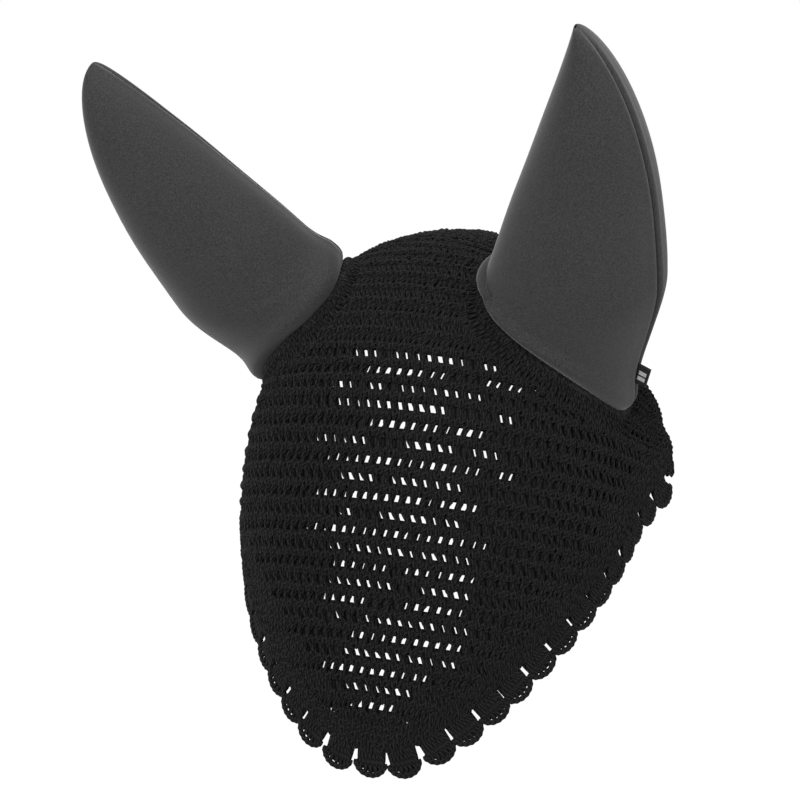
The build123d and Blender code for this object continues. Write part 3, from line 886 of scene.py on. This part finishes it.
def ear_frame(name):
    """Middle of the ear's foot, and its directions across, forward and up."""
    side = SIDES[name]
    up = np.array((side * tan(radians(OUT_LEAN[name])), -tan(radians(FORWARD_LEAN[name])), 1.0))
    up /= np.linalg.norm(up)
    face = radians(FACING[name])
    look = np.array((side * sin(face), -cos(face), 0.0))
    forward = look - up * (look @ up)
    forward /= np.linalg.norm(forward)
    across = np.cross(up, forward)
    return np.array(HOLE_CENTRE) * (side, 1, 1), across * (1 if across[0] * side > 0 else -1), forward, up


def hole_ring(side, angle, wider, lift):
    """Round the ear hole on the form, this much wider and lifted off it."""
    long_axis, forward, normal = hole_axes(side)
    centre = np.array(HOLE_CENTRE) * (side, 1, 1)
    point = centre + (HOLE_LONG + wider)[..., None] * np.cos(angle)[..., None] * long_axis
    point = point + (HOLE_SHORT + wider)[..., None] * np.sin(angle)[..., None] * forward
    return out_to_form(point - 90.0 * normal, normal, 240.0) + normal * lift[..., None]


def tapered(share, taper):
    return (1 - share ** taper[0]) ** taper[1]


def ear_surface(name, angle, share):
    """Points of an ear: the hole's own shape at the foot, then a leaf that bows to the tip."""
    centre, across, forward, up = ear_frame(name)
    outer = OUTER_HALF * tapered(share, OUTER_TAPER)
    inner = INNER_HALF * tapered(share, INNER_TAPER)
    depth = np.maximum(EAR_DEPTH * tapered(share, DEPTH_TAPER), 0.4)
    half = np.maximum((outer + inner) / 2, 0.4)
    leaf = centre + (share * EAR_LENGTH)[..., None] * up
    out = (outer - inner) / 2 + half * np.cos(angle) + OUT_BOW[name] * share**2
    leaf = leaf + out[..., None] * across
    leaf = leaf + (depth * np.sin(angle) + FORWARD_BOW[name] * share**2)[..., None] * forward
    ring = hole_ring(SIDES[name], angle, 0 * angle, 0 * angle + RIM_LIFT + RIM_STAND)
    ring = ring + (share * EAR_LENGTH)[..., None] * up
    t = np.clip(share / BASE_BLEND, 0, 1)
    t = (t * t * (3 - 2 * t))[..., None]
    return ring * (1 - t) + leaf * t


def panel_mesh(name, ear, first, last, material):
    """A panel of one ear as a closed sheet, turned in along its two seams and at the rim."""
    tall, wide = 90, 56
    share = TIP_END * (1 - (1 - np.linspace(0.0, 1.0, tall)) ** 1.25)
    angle = np.linspace(first, last, wide)
    s, a = np.meshgrid(share, angle, indexing="ij")
    outer = ear_surface(ear, a, s)
    across = np.gradient(outer, axis=1)
    upward = np.gradient(outer, axis=0)
    normal = np.cross(across, upward)
    normal /= np.linalg.norm(normal, axis=2, keepdims=True) + 1e-9
    if (normal * (outer - outer.mean(axis=(0, 1)))).sum() < 0:
        normal = -normal
    run = np.linalg.norm(across, axis=2).cumsum(axis=1)
    seam = np.minimum(run - run[:, :1], run[:, -1:] - run)
    valley = -1.6 * np.exp(-((seam / 1.3) ** 2)) + 0.9 * np.exp(-(((seam - 3.2) / 2.6) ** 2))
    rim = s * EAR_LENGTH
    puff = 5.0 * np.exp(-(((rim - 9.0) / 10.0) ** 2)) * (0.55 + 0.45 * np.sin(a))
    puff = puff - 2.5 * np.exp(-((rim / 3.0) ** 2))
    crease = -1.3 * np.exp(-(((s - 0.16 - 0.10 * np.sin(a)) / 0.016) ** 2))
    crease = crease * np.exp(-(((a - 2.0) / 0.55) ** 2)) * (1.0 if ear == "left" else 0.35)
    soft = 0.5 * np.sin(3.1 * a + 9.0 * s) * np.sin(14.0 * s + 1.0) * (1 - s)
    top = outer + normal * ((valley + puff + crease + soft) * (1 - s**8))[..., None]
    under = top - normal * EAR_WALL * np.clip(2.2 * (1 - s[..., None]), 0.15, 1.0)
    points = np.concatenate([top.reshape(-1, 3), under.reshape(-1, 3)])
    index = np.arange(tall * wide).reshape(tall, wide)
    low = index + tall * wide

    def quads(grid):
        return np.stack([grid[:-1, :-1], grid[:-1, 1:], grid[1:, 1:], grid[1:, :-1]], axis=-1).reshape(-1, 4)

    faces = [quads(index), quads(low)[:, ::-1]]
    for one, two in ((index[0], low[0]), (index[:, -1], low[:, -1]),
                     (index[-1][::-1], low[-1][::-1]), (index[::-1, 0], low[::-1, 0])):
        faces.append(np.stack([two[:-1], two[1:], one[1:], one[:-1]], axis=-1))
    marks = np.tile(np.stack([a.ravel() / 9.0, s.ravel()], axis=1), (2, 1))
    piece = mesh_object(name, [(points, np.concatenate(faces), marks)], material)
    select_only(piece)
    bpy.ops.object.mode_set(mode="EDIT")
    bpy.ops.mesh.select_all(action="SELECT")
    bpy.ops.mesh.normals_make_consistent(inside=False)
    bpy.ops.object.mode_set(mode="OBJECT")
    return piece


outer_seam, inner_seam = radians(OUTER_SEAM), radians(INNER_SEAM)
for name in SIDES:
    front = panel_mesh(f"{name}_ear_front", name, outer_seam, inner_seam, softshell_material)
    rear = panel_mesh(f"{name}_ear_rear", name, inner_seam, outer_seam + 2 * pi, softshell_material)
    for piece, node in ((front, "front"), (rear, "rear")):
        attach(piece, f"{name}_ear")
        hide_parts(f"{name}_ear_{node}_panel")
        area_of(piece) / 2


# ---------------------------------------------------------------- ear collars
# Gathered crochet rounds that join the hood to each ear.
def collar_fabric(side):
    """The gathered ring between the hood and an ear."""
    angles = np.linspace(-pi, pi, 161)
    rows = np.array([-0.25, 0.0, 0.25, 0.5, 0.75, 1.0, 1.25])
    curves = []
    for r in rows:
        wider = 0 * angles + COLLAR * (1 - r) + 0.6 * r
        lift = 0 * angles + RIM_LIFT * max(r, 0.0) ** 2 * 0.6
        curves.append(hole_ring(side, angles, wider, lift))
    return Fabric(curves, rows, gathered=True)


def ring_middle(side, wider, lift):
    """Middle of a round of the collar, in metres."""
    angles = np.linspace(-pi, pi, 73)[:-1]
    ring = hole_ring(side, angles, 0 * angles + wider, 0 * angles + lift)
    return tuple(float(c) for c in ring.mean(axis=0) * MM)


for name, side in SIDES.items():
    fabric = collar_fabric(side)
    span = fabric.runs[0][0], fabric.runs[0][-1]
    parts = short_rows(fabric, 1, lambda row: span, COLLAR)
    piece = mesh_object(f"{name}_collar_stitches", parts, yarn_material)
    lining = mesh_object(f"{name}_collar_net", [plain_net(fabric, 1, lambda row: span)], yarn_material)
    welded(lining)
    foot = ring_middle(side, COLLAR, 0.0)
    rim = ring_middle(side, 0.0, RIM_LIFT)
    for part in (piece, lining):
        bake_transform(part)
        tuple(foot)
    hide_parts(f"{name}_ear_collar")


# ---------------------------------------------------------------- label
# A small folded woven tape in the outer seam of one ear, with a plain woven mark.
WAVE_SCALE = 0.314     # a wave texture of scale 1 repeats every 0.314 m


def woven(name, warp, weft, pitch):
    """Fine plain weave: crossing threads of two tones, pitch in millimetres."""
    material, shader = new_material(name)
    place = add_node(material, "ShaderNodeTexCoord")
    waves = [("Vector", place.outputs["Object"]), ("Scale", WAVE_SCALE / (pitch * MM)), ("Distortion", 0.6)]
    threads = []
    for direction in ("X", "Z"):
        threads.append(add_node(material, "ShaderNodeTexWave", waves, bands_direction=direction))
    cross = add_node(material, "ShaderNodeMath",
                     [(0, threads[0].outputs["Fac"]), (1, threads[1].outputs["Fac"])], operation="MULTIPLY")
    tone = add_node(material, "ShaderNodeMix",
                    [("Factor", cross.outputs[0]), (6, linear(weft)), (7, linear(warp))], data_type="RGBA")
    bump = add_node(material, "ShaderNodeBump",
                    [("Height", cross.outputs[0]), ("Strength", 0.5), ("Distance", 0.0001)])
    material.node_tree.links.new(tone.outputs[2], shader.inputs["Base Color"])
    material.node_tree.links.new(bump.outputs[0], shader.inputs["Normal"])
    shader.inputs["Roughness"].default_value = 0.62
    shader.inputs["Sheen Weight"].default_value = 0.1
    return material


def give_material(node, material):
    materials = bpy.data.objects[node].data.materials
    materials.clear()
    materials.append(material)


give_material("ear_label", woven("black_woven_tape", "#262626", "#0F0F0F", 0.35))
give_material("ear_label_mark", woven("white_woven_thread", "#F2F2F2", "#C4C4C4", 0.35))


# ---------------------------------------------------------------- seam edges
# Sewn edges inside each ear and the overcast stitching round its rim, in the black cotton.
def overcast():
    """Slanting overcast stitches of black thread, about 2 mm apart."""
    material, shader = new_material("overcast_thread")
    place = add_node(material, "ShaderNodeTexCoord")
    stitches = add_node(material, "ShaderNodeTexWave",
                        [("Vector", place.outputs["Object"]), ("Scale", WAVE_SCALE / (2.0 * MM)),
                         ("Distortion", 2.0), ("Detail", 2.0)], bands_direction="DIAGONAL")
    tone = add_node(material, "ShaderNodeMix",
                    [("Factor", stitches.outputs["Fac"]), (6, linear("#0B0B0B")), (7, linear("#2A2A2A"))],
                    data_type="RGBA")
    bump = add_node(material, "ShaderNodeBump",
                    [("Height", stitches.outputs["Fac"]), ("Strength", 0.8), ("Distance", 0.0006)])
    material.node_tree.links.new(tone.outputs[2], shader.inputs["Base Color"])
    material.node_tree.links.new(bump.outputs[0], shader.inputs["Normal"])
    shader.inputs["Roughness"].default_value = 0.9
    return material


thread_material = overcast()
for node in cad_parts:
    if "seam" in node or "stitching" in node:
        give_material(node, thread_material)
